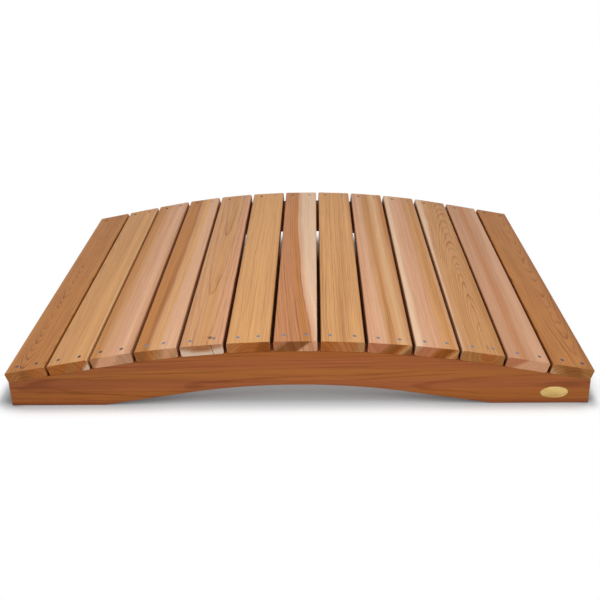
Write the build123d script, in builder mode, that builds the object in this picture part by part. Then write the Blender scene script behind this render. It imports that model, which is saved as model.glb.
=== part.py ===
from build123d import *
import os
from math import atan2, copysign, cos, degrees, radians, sin, tan

# Low garden bridge of cedar: a deck of boards screwed down across two arched beams.
# X runs along the span, Y across the bridge from the front beam to the back beam, Z up.
# The origin lies on the ground below the crown. Sizes are in millimetres.

# Deck boards, laid across the beams side by side
slat_count = 13
slat_width = 88.9
slat_thickness = 25.4
slat_length = 762.0
slat_gap = 6.35
slat_edge_radius = 4.0

# Top of the beams: one arc over the middle, then a straight run at each end
crown_height = 139.7
bearing_radius = 2159.0
bearing_straight = 204.0

# Beams, sawn from planks that stand on edge
beam_thickness = 31.75
beam_edge_ease = 1.6

# How far the beams run past the last board: at the ground, and under the board where the end leans in
foot_overrun = 7.9
bearing_overrun = 1.2

# Underside of the beams: a flat foot, a straight ramp and an arc over the middle
foot_length = 203.2
ramp_run = 175.5
ramp_rise = 31.4

# Countersunk seats of the screws, two at each end of a board, above the beam
screw_spacing = 44.45
screw_end_distance = 19.05
screw_shank_radius = 2.1
screw_head_radius = 3.9
screw_head_angle = 82

# Deck measured along the bearing curve from the crown
slat_pitch = slat_width + slat_gap
deck_reach = (slat_count * slat_pitch - slat_gap) / 2
arc_reach = deck_reach - bearing_straight
bearing_slope = arc_reach / bearing_radius

# The shank fills the wood below the head, so only the head's cone is cut out
screw_seat_depth = (screw_head_radius - screw_shank_radius) / tan(radians(screw_head_angle / 2))


def bearing_seat(reach):
    """Plane that lies on top of the beams at a distance along them from the crown."""
    along_arc = min(abs(reach), arc_reach)
    along_straight = abs(reach) - along_arc
    slope = along_arc / bearing_radius
    side = copysign(1, reach)
    x = side * (bearing_radius * sin(slope) + along_straight * cos(slope))
    z = crown_height - bearing_radius * (1 - cos(slope)) - along_straight * sin(slope)
    return Plane(
        origin=(x, 0, z),
        x_dir=(cos(slope), 0, -side * sin(slope)),
        z_dir=(side * sin(slope), 0, cos(slope)),
    )


# Corners of one half of a beam's outline, from the end of the bearing arc round to the soffit
arc_end = bearing_seat(arc_reach).origin
deck_end = bearing_seat(deck_reach).origin
beam_half_length = deck_end.X + foot_overrun
bearing_half_length = deck_end.X + bearing_overrun
bearing_end_height = deck_end.Z - bearing_overrun * tan(bearing_slope)
toe_x = beam_half_length - foot_length
soffit_arc_reach = toe_x - ramp_run
soffit_slope = atan2(ramp_rise, ramp_run)
soffit_radius = soffit_arc_reach / sin(soffit_slope)
soffit_centre_height = ramp_rise - soffit_radius * cos(soffit_slope)


def build_beam(name, back_face_y):
    """Arched beam whose face away from the viewer stands at the given Y."""
    with BuildPart() as beam:
        with BuildSketch(Plane.XZ.offset(-back_face_y)):
            with BuildLine():
                CenterArc(
                    center=(0, crown_height - bearing_radius),
                    radius=bearing_radius,
                    start_angle=90 - degrees(bearing_slope),
                    arc_size=2 * degrees(bearing_slope),
                )
                CenterArc(
                    center=(0, soffit_centre_height),
                    radius=soffit_radius,
                    start_angle=90 - degrees(soffit_slope),
                    arc_size=2 * degrees(soffit_slope),
                )
                flank = Polyline(
                    (arc_end.X, arc_end.Z),
                    (bearing_half_length, bearing_end_height),
                    (beam_half_length, 0),
                    (toe_x, 0),
                    (soffit_arc_reach, ramp_rise),
                )
                mirror(flank, about=Plane.YZ)
            make_face()
        extrude(amount=beam_thickness)
        # The edges that a hand meets are eased, and those under the boards stay square
        outline = beam.faces().filter_by(Axis.Y).edges()
        bearing = beam.faces().filter_by(lambda face: face.normal_at().Z > 0.5).edges()
        chamfer(outline - bearing, length=beam_edge_ease)
    beam.part.label = name
    export_step(beam.part, f"parts/{name}.step")


def build_slat(name, seat):
    """Deck board with rounded long edges and a countersunk seat for each screw head."""
    middle = seat.offset(slat_thickness / 2)
    with BuildPart() as slat:
        with BuildSketch(Plane(origin=middle.origin, x_dir=seat.x_dir, z_dir=(0, -1, 0))):
            RectangleRounded(slat_width, slat_thickness, radius=slat_edge_radius)
        extrude(amount=slat_length / 2, both=True)
        with Locations(seat.offset(slat_thickness)):
            with GridLocations(screw_spacing, slat_length - 2 * screw_end_distance, 2, 2):
                CounterSinkHole(
                    radius=screw_shank_radius,
                    counter_sink_radius=screw_head_radius,
                    depth=screw_seat_depth,
                    counter_sink_angle=screw_head_angle,
                )
    slat.part.label = name
    export_step(slat.part, f"parts/{name}.step")


os.makedirs("parts", exist_ok=True)

# The beams stand flush with the ends of the boards
build_beam("front_beam", back_face_y=beam_thickness - slat_length / 2)
build_beam("back_beam", back_face_y=slat_length / 2)

# Board 01 is at the -X end
for number in range(1, slat_count + 1):
    reach = (number - (slat_count + 1) / 2) * slat_pitch
    build_slat(f"slat_{number:02d}", bearing_seat(reach))
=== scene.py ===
import logging
import math
import random
from dataclasses import dataclass, replace
from enum import Enum
from functools import partial, reduce

import bmesh
import bpy
from mathutils import Matrix, Vector


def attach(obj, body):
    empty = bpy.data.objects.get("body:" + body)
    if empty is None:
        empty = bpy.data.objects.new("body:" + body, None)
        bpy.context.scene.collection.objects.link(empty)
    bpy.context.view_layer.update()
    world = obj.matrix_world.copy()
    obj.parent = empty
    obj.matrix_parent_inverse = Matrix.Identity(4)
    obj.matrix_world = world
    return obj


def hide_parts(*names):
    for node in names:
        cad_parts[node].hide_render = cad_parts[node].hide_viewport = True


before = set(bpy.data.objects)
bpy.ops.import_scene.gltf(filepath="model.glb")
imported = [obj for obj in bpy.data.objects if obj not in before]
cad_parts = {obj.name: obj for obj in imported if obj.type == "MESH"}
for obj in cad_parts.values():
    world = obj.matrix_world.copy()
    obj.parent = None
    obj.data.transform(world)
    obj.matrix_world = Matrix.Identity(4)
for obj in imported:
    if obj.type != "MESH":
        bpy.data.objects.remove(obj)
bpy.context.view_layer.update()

# Low arched garden bridge of oiled cedar: thirteen deck boards screwed down across two arched
# beams. Pieces are placed in metres, and a plank's own grain, knots and screws in millimetres.

LOG = logging.getLogger("garden_bridge")
MM = 0.001
BODY = "root"
CORNER_ANGLE = math.radians(32)
FIRST_SEED = 100

# Sizes that several pieces share, in millimetres
BOARD_WIDTH = 88.9
BOARD_THICKNESS = 25.4
BOARD_LENGTH = 762.0
BEAM_THICKNESS = 31.75

Colour = tuple[float, float, float, float]
Range = tuple[float, ...]
Socket = bpy.types.NodeSocket
Number = Socket | float

BLACK = (0.0, 0.0, 0.0, 1.0)
WHITE = (1.0, 1.0, 1.0, 1.0)


def linear(red: int, green: int, blue: int) -> Colour:
    """Turns a colour as a paint chart gives it into the light that a surface gives back.

    Args:
        red: Red from 0 to 255.
        green: Green from 0 to 255.
        blue: Blue from 0 to 255.

    Returns:
        Linear red, green and blue, and full opacity.
    """
    parts = [part / 255 for part in (red, green, blue)]
    light = [p / 12.92 if p <= 0.04045 else ((p + 0.055) / 1.055) ** 2.4 for p in parts]
    return (light[0], light[1], light[2], 1.0)


class Tone(Enum):
    """The tones that run through red cedar, from sapwood to the darkest heartwood."""

    IVORY = linear(244, 210, 182)
    CREAM = linear(229, 191, 158)
    BLUSH = linear(218, 168, 132)
    ROSE = linear(213, 158, 122)
    MAUVE = linear(204, 152, 116)
    TAN = linear(208, 154, 108)
    HONEY = linear(215, 160, 104)
    STRAW = linear(222, 176, 126)
    OCHRE = linear(206, 150, 96)
    AMBER = linear(196, 136, 78)
    RUSSET = linear(194, 132, 88)
    BROWN = linear(190, 126, 67)
    UMBER = linear(171, 109, 55)
    GINGER = linear(208, 131, 72)
    SPICE = linear(196, 118, 57)
    CINNAMON = linear(190, 109, 61)
    CHESTNUT = linear(194, 114, 50)
    SALMON = linear(209, 133, 92)
    PEACH = linear(240, 177, 135)
    COCOA = linear(157, 96, 51)
    CLOVE = linear(165, 93, 34)
    KNOT_RING = (0.09, 0.035, 0.015, 1.0)
    KNOT_HEART = (0.30, 0.15, 0.07, 1.0)


class StainAndShade(Enum):
    """What a full coat of each one lets through: the first four are the wood's own marks, and the last three
    painted shade.
    """

    LATE_WOOD = (0.40, 0.25, 0.15, 1.0)
    RED_STREAK = (0.80, 0.66, 0.55, 1.0)
    END_RING = (0.66, 0.52, 0.40, 1.0)
    CHECK = (0.10, 0.05, 0.03, 1.0)
    # Painted shade in and round the seats of the screw heads
    TORN_FIBRE = (0.30, 0.18, 0.11, 1.0)
    # Painted shade: a warm darkening in hollows, and a deep dark in the narrow gaps
    WARM_HOLLOW = (0.97, 0.84, 0.66, 1.0)
    CREVICE = (0.16, 0.045, 0.004, 1.0)


Bands = tuple[tuple[float, Tone], ...]


def banded(*row: Tone | float) -> Bands:
    """Lays tones side by side across a plank.

    Args:
        *row: Each tone, followed by the shares of the width at which it lies.

    Returns:
        Pairs of a share and a tone, in order.
    """
    laid: list[tuple[float, Tone]] = []
    tone = Tone.BROWN
    for item in row:
        if isinstance(item, Tone):
            tone = item
        else:
            laid.append((item, tone))
    return tuple(laid)


class Finish(Enum):
    """Names of the record's material slots; new_piece takes one for each piece but doesn't use it."""

    BEAM = "beam_cedar"
    BOARD = "board_cedar"
    SCREW = "screw_steel"
    PLATE = "plate_brass"


class Recipe:
    """The node tree of a material or of the surroundings, written one step at a time."""

    def __init__(self, owner: bpy.types.Material | bpy.types.World) -> None:
        """Starts an empty tree.

        Args:
            owner: The material or the surroundings that the tree is for.
        """
        owner.use_nodes = True
        self.owner = owner
        self.tree = owner.node_tree
        self.tree.nodes.clear()

    def step(self, kind: str, inputs: dict | None = None, **settings: object) -> bpy.types.Node:
        """Adds one node.

        Args:
            kind: Blender's name for the node.
            inputs: What each input takes, a socket to link or a plain value.
            **settings: The node's own settings.

        Returns:
            The new node.
        """
        node = self.tree.nodes.new(kind)
        for name, value in settings.items():
            setattr(node, name, value)
        for key, value in (inputs or {}).items():
            if isinstance(value, Socket):
                self.tree.links.new(value, node.inputs[key])
            else:
                node.inputs[key].default_value = value
        return node

    def math(self, operation: str, first: Number, second: Number = 0.0) -> Socket:
        """Works on one or two numbers."""
        return self.step("ShaderNodeMath", {0: first, 1: second}, operation=operation).outputs[0]

    def add(self, *numbers: Number) -> Socket:
        """Adds numbers up."""
        return reduce(partial(self.math, "ADD"), numbers)

    def times(self, *numbers: Number) -> Socket:
        """Multiplies numbers."""
        return reduce(partial(self.math, "MULTIPLY"), numbers)

    def less(self, first: Number, second: Number) -> Socket:
        """Takes the second number from the first."""
        return self.math("SUBTRACT", first, second)

    def split(self, vector: Socket) -> tuple[Socket, Socket, Socket]:
        """Splits a vector into its three numbers."""
        node = self.step("ShaderNodeSeparateXYZ", {0: vector})
        return node.outputs[0], node.outputs[1], node.outputs[2]

    def combine(self, x: Number, y: Number, z: Number = 0.0) -> Socket:
        """Joins two or three numbers into a vector."""
        return self.step("ShaderNodeCombineXYZ", {0: x, 1: y, 2: z}).outputs[0]

    def vector(self, operation: str, first: object, second: object = (0.0, 0.0, 0.0)) -> Socket:
        """Works on two vectors, and gives a vector."""
        return self.step("ShaderNodeVectorMath", {0: first, 1: second}, operation=operation).outputs[0]

    def scaled(self, vector: Socket, scale: Number) -> Socket:
        """Makes a vector longer or shorter."""
        return self.step("ShaderNodeVectorMath", {0: vector, "Scale": scale}, operation="SCALE").outputs[0]

    def length(self, vector: Socket) -> Socket:
        """Gives the length of a vector."""
        return self.step("ShaderNodeVectorMath", {0: vector}, operation="LENGTH").outputs[1]

    def noise(self, vector: Socket, detail: float, roughness: float = 0.5) -> bpy.types.Node:
        """Adds soft noise that changes about once in one unit, and gives a number and a colour."""
        inputs = {"Vector": vector, "Scale": 1.0, "Detail": detail, "Roughness": roughness}
        return self.step("ShaderNodeTexNoise", inputs)

    def swing(self, noise: Socket, depth: float) -> Socket:
        """Turns noise round one half into a swing of a depth to either side of nought."""
        return self.times(self.less(noise, 0.5), 2 * depth)

    def span(self, value: Number, low: float, high: float, start: float = 0.0, end: float = 1.0) -> Socket:
        """Turns the numbers from low to high softly into those from start to end, and no further."""
        inputs = {"Value": value, "From Min": low, "From Max": high, "To Min": start, "To Max": end}
        return self.step("ShaderNodeMapRange", inputs, interpolation_type="SMOOTHSTEP").outputs[0]

    def mix(self, share: Number, first: object, second: object, blend: str = "MIX") -> Socket:
        """Mixes a share of the second colour into the first."""
        inputs = {0: share, 6: first, 7: second}
        return self.step("ShaderNodeMix", inputs, data_type="RGBA", blend_type=blend).outputs[2]

    def ramp(self, value: Socket, stops: tuple[tuple[float, Colour], ...], easing: str = "EASE") -> Socket:
        """Lays colours along a number.

        Args:
            value: The number, from 0 to 1.
            stops: Pairs of a place from 0 to 1 and a colour, in order.
            easing: How one colour goes over into the next.

        Returns:
            The colour at the number.
        """
        node = self.step("ShaderNodeValToRGB", {0: value})
        ramp = node.color_ramp
        ramp.interpolation = easing
        while len(ramp.elements) < len(stops):
            ramp.elements.new(1.0)
        for element, (place, colour) in zip(ramp.elements, stops):
            element.position = place
            element.color = colour
        return node.outputs[0]

    def curve(self, value: Socket, *stops: tuple[float, float]) -> Socket:
        """Draws a number as straight lines between pairs of a place and a height."""
        return self.ramp(value, tuple((at, (high, high, high, 1.0)) for at, high in stops), "LINEAR")

    def openness(self, reach: float, samples: int = 6) -> Socket:
        """Tells how open the surroundings are within a reach, from nought to one."""
        return self.step("ShaderNodeAmbientOcclusion", {"Distance": reach}, samples=samples).outputs["AO"]

    def bump(self, strength: float, depth: float, height: Socket) -> Socket:
        """Raises the surface a little where the height is great."""
        inputs = {"Strength": strength, "Distance": depth, "Height": height}
        return self.step("ShaderNodeBump", inputs).outputs[0]

    def seen_directly(self) -> Socket:
        """Tells rays that see the surroundings as they are from rays that carry light.

        Returns:
            One for rays of the camera, of gloss and of glass, and nought for others.
        """
        path = self.step("ShaderNodeLightPath").outputs
        seen = path["Is Camera Ray"]
        for other in ("Is Glossy Ray", "Is Transmission Ray"):
            seen = self.math("MAXIMUM", seen, path[other])
        return seen

    def finish(self, shader: Socket) -> bpy.types.Material:
        """Sends the shader to the surface and gives the material."""
        self.step("ShaderNodeOutputMaterial", {"Surface": shader})
        return self.owner


@dataclass(frozen=True)
class Knot:
    """A small knot that the grain flows round."""

    across: float
    along: float
    radius: float


@dataclass(frozen=True)
class EndGrain:
    """Tones of a plank's sawn ends, which drink more oil than its faces.

    Attributes:
        bands: Tones across the end, halfway down.
        lean: How far the bands shift across for each millimetre of depth.
        ring_depth: How dark the rings are.
        sap: How pale the bark side is.
        check: Where a small crack crosses the end, if one does.
    """

    bands: Bands = banded(Tone.CHESTNUT, 0.0, 1.0)
    lean: float = 0.0
    ring_depth: float = 1.0
    sap: float = 0.0
    check: float | None = None


@dataclass(frozen=True)
class CedarFinish:
    """Planed and oiled cedar, cut as one plank from its own place in a log.

    A plank's own X runs across its face, its Y along the grain and its Z out of the face. Sizes are
    in millimetres, apart from bump_depth, which is in metres. The pith is the middle of the log,
    beside or below the plank.

    Attributes:
        bands: Tones across the face.
        end: Tones of the sawn ends.
        reach: Half the plank's length.
        lean: How far the grain has shifted across at the near end, as a share of the width.
        bow: The same for a shift that grows towards both ends.
        dip: How far the bands shift across for each millimetre of depth.
        taper: How much deeper the pith lies at the near end than in the middle.
        late_share: How much of a ring is dark late wood.
        wander: How far the grain sways, with wander_length from one sway to the next.
        fade: How light the plank is at its near end, in its middle and at its far end.
        crevice: How dark the painted shade in the narrow gaps is.
    """

    bands: Bands
    end: EndGrain = EndGrain()
    width: float = BOARD_WIDTH
    thickness: float = BOARD_THICKNESS
    reach: float = BOARD_LENGTH / 2
    lean: float = 0.0
    bow: float = 0.0
    dip: float = 0.0
    pith_across: float = 0.0
    pith_depth: float = 60.0
    taper: float = 0.0
    ring_width: float = 3.2
    ring_depth: float = 0.5
    late_share: float = 0.24
    wander: float = 4.0
    wander_length: float = 160.0
    streak_depth: float = 0.16
    fibre_depth: float = 0.2
    fade: tuple[float, float, float] = (1.0, 1.0, 1.0)
    knots: tuple[Knot, ...] = ()
    crevice: float = 1.0
    roughness: float = 0.44
    streak_roughness: float = 0.12
    sawn_roughness: float = 0.22
    gloss: float = 0.18
    late_height: float = 0.6
    bump: float = 0.4
    bump_depth: float = 0.1 * MM
    screws: tuple[tuple[float, float], ...] = ()
    seed: float = 0.0

    def material(self, name: str) -> bpy.types.Material:
        """Builds the cedar of one plank.

        Args:
            name: The material's name.

        Returns:
            The material.
        """
        plank = PlankRecipe(name, self)
        late, group = plank.rings()
        colour = plank.tones()
        lines = plank.times(late, plank.heartwood(colour), self.ring_depth)
        colour = plank.knots(plank.stain_and_shade(lines, colour, StainAndShade.LATE_WOOD))
        end = plank.end_share()
        colour = plank.mix(end, colour, plank.end_grain(late, group))
        # Painted shade round the screw heads, and in the narrow gaps and hollows
        colour = plank.paint_crevice_shade(plank.paint_screw_seat_shade(colour))
        roughness = plank.add(self.roughness, plank.times(plank.streak, self.streak_roughness),
                              plank.times(end, self.sawn_roughness))
        height = plank.add(plank.times(late, self.late_height), plank.fibre)
        shader = plank.step("ShaderNodeBsdfPrincipled", {
            "Base Color": colour, "Roughness": roughness, "Specular IOR Level": self.gloss,
            "Normal": plank.bump(self.bump, self.bump_depth, height)})
        return plank.finish(shader.outputs[0])


class Streak(Enum):
    """Noise stretched along the grain: its width and length in millimetres, and its finer layers."""

    FIBRE = (1.3, 60.0, 3.0)
    FINE = (4.2, 520.0, 3.0)
    BROAD = (11.0, 700.0, 2.0)
    BAND_EDGE = (16.0, 300.0, 2.0)
    RING_PATCH = (24.0, 130.0, 2.0)


class PlankRecipe(Recipe):
    """The node tree of one plank, which reads every place in the plank's own frame.

    Each range tells where something starts and ends, and then how strong it is at the two. Ranges
    of knots are in the knot's own radii, and those of depths and distances in millimetres.
    """

    SEED_STEP = 37.0
    SWAY_WIDTH, SWAY_NOISE = 60.0, (3.0, 0.55)
    STREAK_ROUGHNESS = 0.6

    # Rings, with noise along the radius: how much of it passes in a ring, and what it does to them
    DRIFT_PER_RING, DRIFT = 0.3, 2.4
    GROUP_PER_RING, GROUP_SHIFT, GROUPS = 0.45, 9.0, (0.36, 0.62)
    LIGHT_GROUP = 0.5
    RING_PATCHES = (0.35, 0.62, 0.35, 1.0)

    # Bands of tone, and the streaks over them
    BAND_EDGE_SWING = 0.06
    BROAD_STREAK_SHARE = 0.75
    RED_STREAKS = (0.3, 0.5, 0.55, 0.0)
    HEARTWOOD = (0.36, 0.5, 1.0, 0.05)

    # Knots
    KNOT_SHAPE = (1.0, 0.8, 0.25)
    KNOT_SWELL = (0.0, 4.0, 1.0, 0.0)
    KNOT_HALO = (1.0, 1.9, 0.4, 0.0)
    KNOT_RIM = (0.7, 1.1, 1.0, 0.0)
    KNOT_HEART = (0.25, 0.6, 1.0, 0.0)

    # Sawn ends
    SAWN = (0.6, 0.9)
    PORE_DEPTH = 0.35
    SAP_DEPTH, SAP_CURVE, SAP_RAGGED = (6.0, 19.0), 1 / 300.0, -4.0
    END_GROUP, END_LINE = 0.5, 0.8
    CHECK_LEAN, CHECK_WIDTH = -0.12, (0.3, 1.0, 0.85, 0.0)

    # Painted shade: dark rims round the screw heads, and the hollows and gaps between planks
    SCREW_RIM, SCREW_RIM_DEPTH = (3.8, 4.8, 0.8, 0.0), (0.5, 5.0, 0.5, 0.0)
    CREVICE_REACH = 22 * MM
    HOLLOWS, CREVICES = (0.3, 0.85, 1.0, 0.0), (0.1, 0.58)

    def __init__(self, name: str, cedar: CedarFinish) -> None:
        """Starts the plank's material.

        Args:
            name: The material's name.
            cedar: The plank's cut and tones.
        """
        super().__init__(bpy.data.materials.new(name))
        self.cedar = cedar
        self.place = self.step("ShaderNodeTexCoord")
        self.point = self.scaled(self.place.outputs["Object"], 1 / MM)
        self.across, self.along, self.out = self.split(self.point)
        self.offset = cedar.seed * self.SEED_STEP
        self.front = self.times(self.along, -1 / cedar.reach)
        self.depth = self.less(cedar.thickness, self.out)
        self.grain_across, self.grain_depth = self.grain()
        self.streak = self.streaks(Streak.FINE, self.grain_across)
        self.fibre = self.streaks(Streak.FIBRE, self.grain_across)
        self.radius = self.ring_radius()

    def stretched(self, across: Socket, width: float, length: float) -> Socket:
        """Gives the place where noise is read for patches of a width and a length along the grain."""
        return self.combine(self.add(self.times(across, 1 / width), self.offset),
                            self.times(self.along, 1 / length), self.times(self.out, 1 / width))

    def streaks(self, kind: Streak, across: Socket) -> Socket:
        """Adds noise of one kind, straight or along with the grain, as the place across is."""
        width, length, detail = kind.value
        return self.noise(self.stretched(across, width, length), detail, self.STREAK_ROUGHNESS).outputs[0]

    def grain(self) -> tuple[Socket, Socket]:
        """Lets the grain lean and bow towards one edge, and wander a little.

        Returns:
            The place across the plank and the depth in it, along with the grain.
        """
        cedar = self.cedar
        drift = self.times(self.front, self.add(cedar.lean * cedar.width,
                                                self.times(self.front, cedar.bow * cedar.width)))
        slow = self.stretched(self.across, self.SWAY_WIDTH, cedar.wander_length)
        side_sway, _, deep_sway = self.split(self.noise(slow, *self.SWAY_NOISE).outputs[1])
        across = self.less(self.add(self.across, self.swing(side_sway, cedar.wander)), drift)
        return across, self.add(self.depth, self.swing(deep_sway, cedar.wander))

    def ring_radius(self) -> Socket:
        """Measures how far from the pith a place is.

        Returns:
            The distance, which swells round knots.
        """
        cedar = self.cedar
        pith_depth = self.add(self.times(self.front, cedar.taper), cedar.pith_depth)
        radius = self.length(self.combine(self.less(self.grain_across, cedar.pith_across),
                                          self.less(pith_depth, self.grain_depth)))
        for knot in cedar.knots:
            radius = self.add(radius, self.times(self.span(self.away(knot), *self.KNOT_SWELL), knot.radius))
        return radius

    def away(self, knot: Knot) -> Socket:
        """Measures the distance from a knot in its own radii, as its oval shape counts it."""
        offset = self.vector("SUBTRACT", self.point, (knot.across, knot.along, self.cedar.thickness))
        return self.times(self.length(self.vector("MULTIPLY", offset, self.KNOT_SHAPE)), 1 / knot.radius)

    def ring_noise(self, per_ring: float, shift: float = 0.0) -> Socket:
        """Reads noise along the radius, so that it is the same all along a ring."""
        spot = self.combine(self.times(self.radius, per_ring / self.cedar.ring_width), self.offset + shift)
        return self.noise(spot, 1.0).outputs[0]

    def rings(self) -> tuple[Socket, Socket]:
        """Draws growth rings, pale early wood that darkens to a crisp late line.

        Returns:
            The strength of the late line, and how dark its group of rings is.
        """
        cedar, share = self.cedar, self.cedar.late_share
        count = self.add(self.times(self.radius, 1 / cedar.ring_width),
                         self.times(self.ring_noise(self.DRIFT_PER_RING), self.DRIFT))
        late = self.curve(self.math("FRACT", count), (0.0, 0.1), (0.4, 0.0), (1 - share, 0.35),
                          (1 - 0.7 * share, 1.0), (1 - 0.25 * share, 1.0), (1.0, 0.1))
        group = self.span(self.ring_noise(self.GROUP_PER_RING, self.GROUP_SHIFT), *self.GROUPS)
        patchy = self.span(self.streaks(Streak.RING_PATCH, self.across), *self.RING_PATCHES)
        strength = self.add(self.LIGHT_GROUP, self.times(group, 1 - self.LIGHT_GROUP))
        return self.times(late, patchy, strength), group

    def stain_and_shade(self, share: Number, colour: Socket, stain_and_shade: StainAndShade) -> Socket:
        """Darkens a colour by a share of a full clear coat: one of the wood's own marks, or painted shade."""
        return self.mix(share, colour, stain_and_shade.value, "MULTIPLY")

    def band_tone(self, across: Socket, bands: Bands) -> Socket:
        """Reads bands of tone at a place across the plank."""
        share = self.add(self.times(across, 1 / self.cedar.width), 0.5)
        return self.ramp(share, tuple((at, tone.value) for at, tone in bands))

    def tones(self) -> Socket:
        """Lays the bands of tone across the plank, with streaks and fibres over them.

        Returns:
            The colour of the early wood.
        """
        cedar = self.cedar
        ragged = self.swing(self.streaks(Streak.BAND_EDGE, self.across), self.BAND_EDGE_SWING * cedar.width)
        across = self.add(self.grain_across, self.times(self.depth, cedar.dip), ragged)
        colour = self.band_tone(across, cedar.bands)
        broad = self.streaks(Streak.BROAD, self.grain_across)
        light = self.add(1.0, self.swing(self.streak, cedar.streak_depth),
                         self.swing(self.fibre, cedar.fibre_depth),
                         self.swing(broad, cedar.streak_depth * self.BROAD_STREAK_SHARE))
        reddish = self.times(self.span(self.streak, *self.RED_STREAKS), self.heartwood(colour))
        colour = self.stain_and_shade(reddish, self.scaled(colour, light), StainAndShade.RED_STREAK)
        near, middle, far = cedar.fade
        there = self.add(0.5, self.times(self.front, -0.5))
        return self.scaled(colour, self.curve(there, (0.0, near), (0.5, middle), (1.0, far)))

    def heartwood(self, colour: Socket) -> Socket:
        """Tells dark heartwood, one, from pale sapwood, where hardly any line shows."""
        return self.span(self.step("ShaderNodeRGBToBW", {0: colour}).outputs[0], *self.HEARTWOOD)

    def knots(self, colour: Socket) -> Socket:
        """Sets the dark hearts of the knots into a colour.

        Args:
            colour: The colour of the plain wood.

        Returns:
            The colour with the knots.
        """
        for knot in self.cedar.knots:
            away = self.away(knot)
            colour = self.stain_and_shade(self.span(away, *self.KNOT_HALO), colour, StainAndShade.LATE_WOOD)
            colour = self.mix(self.span(away, *self.KNOT_RIM), colour, Tone.KNOT_RING.value)
            colour = self.mix(self.span(away, *self.KNOT_HEART), colour, Tone.KNOT_HEART.value)
        return colour

    def end_share(self) -> Socket:
        """Tells sawn ends, one, from faces, nought."""
        facing = self.math("ABSOLUTE", self.split(self.place.outputs["Normal"])[1])
        return self.span(facing, *self.SAWN)

    def end_grain(self, late: Socket, group: Socket) -> Socket:
        """Gives the sawn ends their tones.

        Args:
            late: The strength of the late line.
            group: How dark each group of rings is.

        Returns:
            The tone of the ends.
        """
        end = self.cedar.end
        level = self.less(self.depth, self.cedar.thickness / 2)
        colour = self.band_tone(self.add(self.across, self.times(level, end.lean)), end.bands)
        pores = self.times(self.add(self.streak, self.fibre), self.PORE_DEPTH)
        colour = self.scaled(colour, self.add(pores, 1 - self.PORE_DEPTH))
        ringed = end.ring_depth
        if end.sap:
            bark_side = self.add(self.depth, self.times(self.across, self.across, self.SAP_CURVE),
                                 self.times(group, self.SAP_RAGGED))
            sap = self.span(bark_side, *self.SAP_DEPTH, 0.0, end.sap)
            colour = self.mix(sap, colour, Tone.IVORY.value)
            ringed = self.times(self.less(1.0, sap), ringed)
        colour = self.stain_and_shade(self.times(group, self.END_GROUP, ringed), colour, StainAndShade.END_RING)
        colour = self.stain_and_shade(self.times(late, self.END_LINE, ringed), colour, StainAndShade.END_RING)
        if end.check is None:
            return colour
        upright = self.add(self.across, self.times(self.depth, self.CHECK_LEAN))
        aside = self.math("ABSOLUTE", self.less(upright, end.check))
        return self.stain_and_shade(self.span(aside, *self.CHECK_WIDTH), colour, StainAndShade.CHECK)

    def paint_screw_seat_shade(self, colour: Socket) -> Socket:
        """Paints shade as a dark rim in and round the seat of each screw head.

        Args:
            colour: The colour of the whole wood.

        Returns:
            The colour with the painted shade round the screws.
        """
        flat = self.combine(self.across, self.along)
        for across, along in self.cedar.screws:
            away = self.length(self.vector("SUBTRACT", flat, (across, along, 0.0)))
            rim = self.times(self.span(away, *self.SCREW_RIM), self.span(self.depth, *self.SCREW_RIM_DEPTH))
            colour = self.stain_and_shade(rim, colour, StainAndShade.TORN_FIBRE)
        return colour

    def paint_crevice_shade(self, colour: Socket) -> Socket:
        """Paints shade into the narrow gaps and hollows: a warm darkening, then a deep dark, where little is
        open round about.

        Args:
            colour: The colour of the open wood.

        Returns:
            The colour with the painted shade in the gaps.
        """
        open_share = self.openness(self.CREVICE_REACH)
        colour = self.stain_and_shade(self.span(open_share, *self.HOLLOWS), colour, StainAndShade.WARM_HOLLOW)
        dark = self.span(open_share, *self.CREVICES, self.cedar.crevice, 0.0)
        return self.stain_and_shade(dark, colour, StainAndShade.CREVICE)


@dataclass(frozen=True)
class MetalFinish:
    """Brushed metal that has dulled in patches, with painted shade in its hollows.

    Attributes:
        tone: The bright metal.
        dull_tone: The patches.
        dark_tone: Painted shade on the metal in hollows, within hollow_reach of a wall, as in the screws'
            recesses and the plate's groove.
        patch_size: From one patch to the next, in millimetres.
        brush: How closely the brush marks lie along the metal's X, Y and Z, in lines a millimetre.
        brush_noise: How many finer layers the marks have, and how strong those are.
    """

    tone: Colour
    dull_tone: Colour
    dark_tone: Colour
    roughness: float
    patch_size: float
    patches: Range = (0.38, 0.62)
    hollows: Range = (0.2, 0.85, 1.0, 0.0)
    hollow_reach: float = 1.5 * MM
    brush: tuple[float, float, float] = (0.25, 2.4, 2.4)
    brush_noise: tuple[float, float] = (3.0, 0.6)
    brush_roughness: float = 0.12
    bump: float = 0.2
    bump_depth: float = 0.02 * MM

    def material(self, name: str) -> bpy.types.Material:
        """Builds the metal.

        Args:
            name: The material's name.

        Returns:
            The material.
        """
        recipe = Recipe(bpy.data.materials.new(name))
        point = recipe.scaled(recipe.step("ShaderNodeTexCoord").outputs["Object"], 1 / MM)
        brushed = recipe.noise(recipe.vector("MULTIPLY", point, self.brush), *self.brush_noise).outputs[0]
        patches = recipe.noise(recipe.scaled(point, 1 / self.patch_size), 1.0).outputs[0]
        colour = recipe.mix(recipe.span(patches, *self.patches), self.tone, self.dull_tone)
        # Painted shade: the metal darkens where little is open round it
        painted_hollow_shade = recipe.span(recipe.openness(self.hollow_reach), *self.hollows)
        colour = recipe.mix(painted_hollow_shade, colour, self.dark_tone)
        shader = recipe.step("ShaderNodeBsdfPrincipled", {
            "Base Color": colour, "Metallic": 1.0,
            "Roughness": recipe.add(recipe.swing(brushed, self.brush_roughness), self.roughness),
            "Normal": recipe.bump(self.bump, self.bump_depth, brushed)})
        return recipe.finish(shader.outputs[0])


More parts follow.
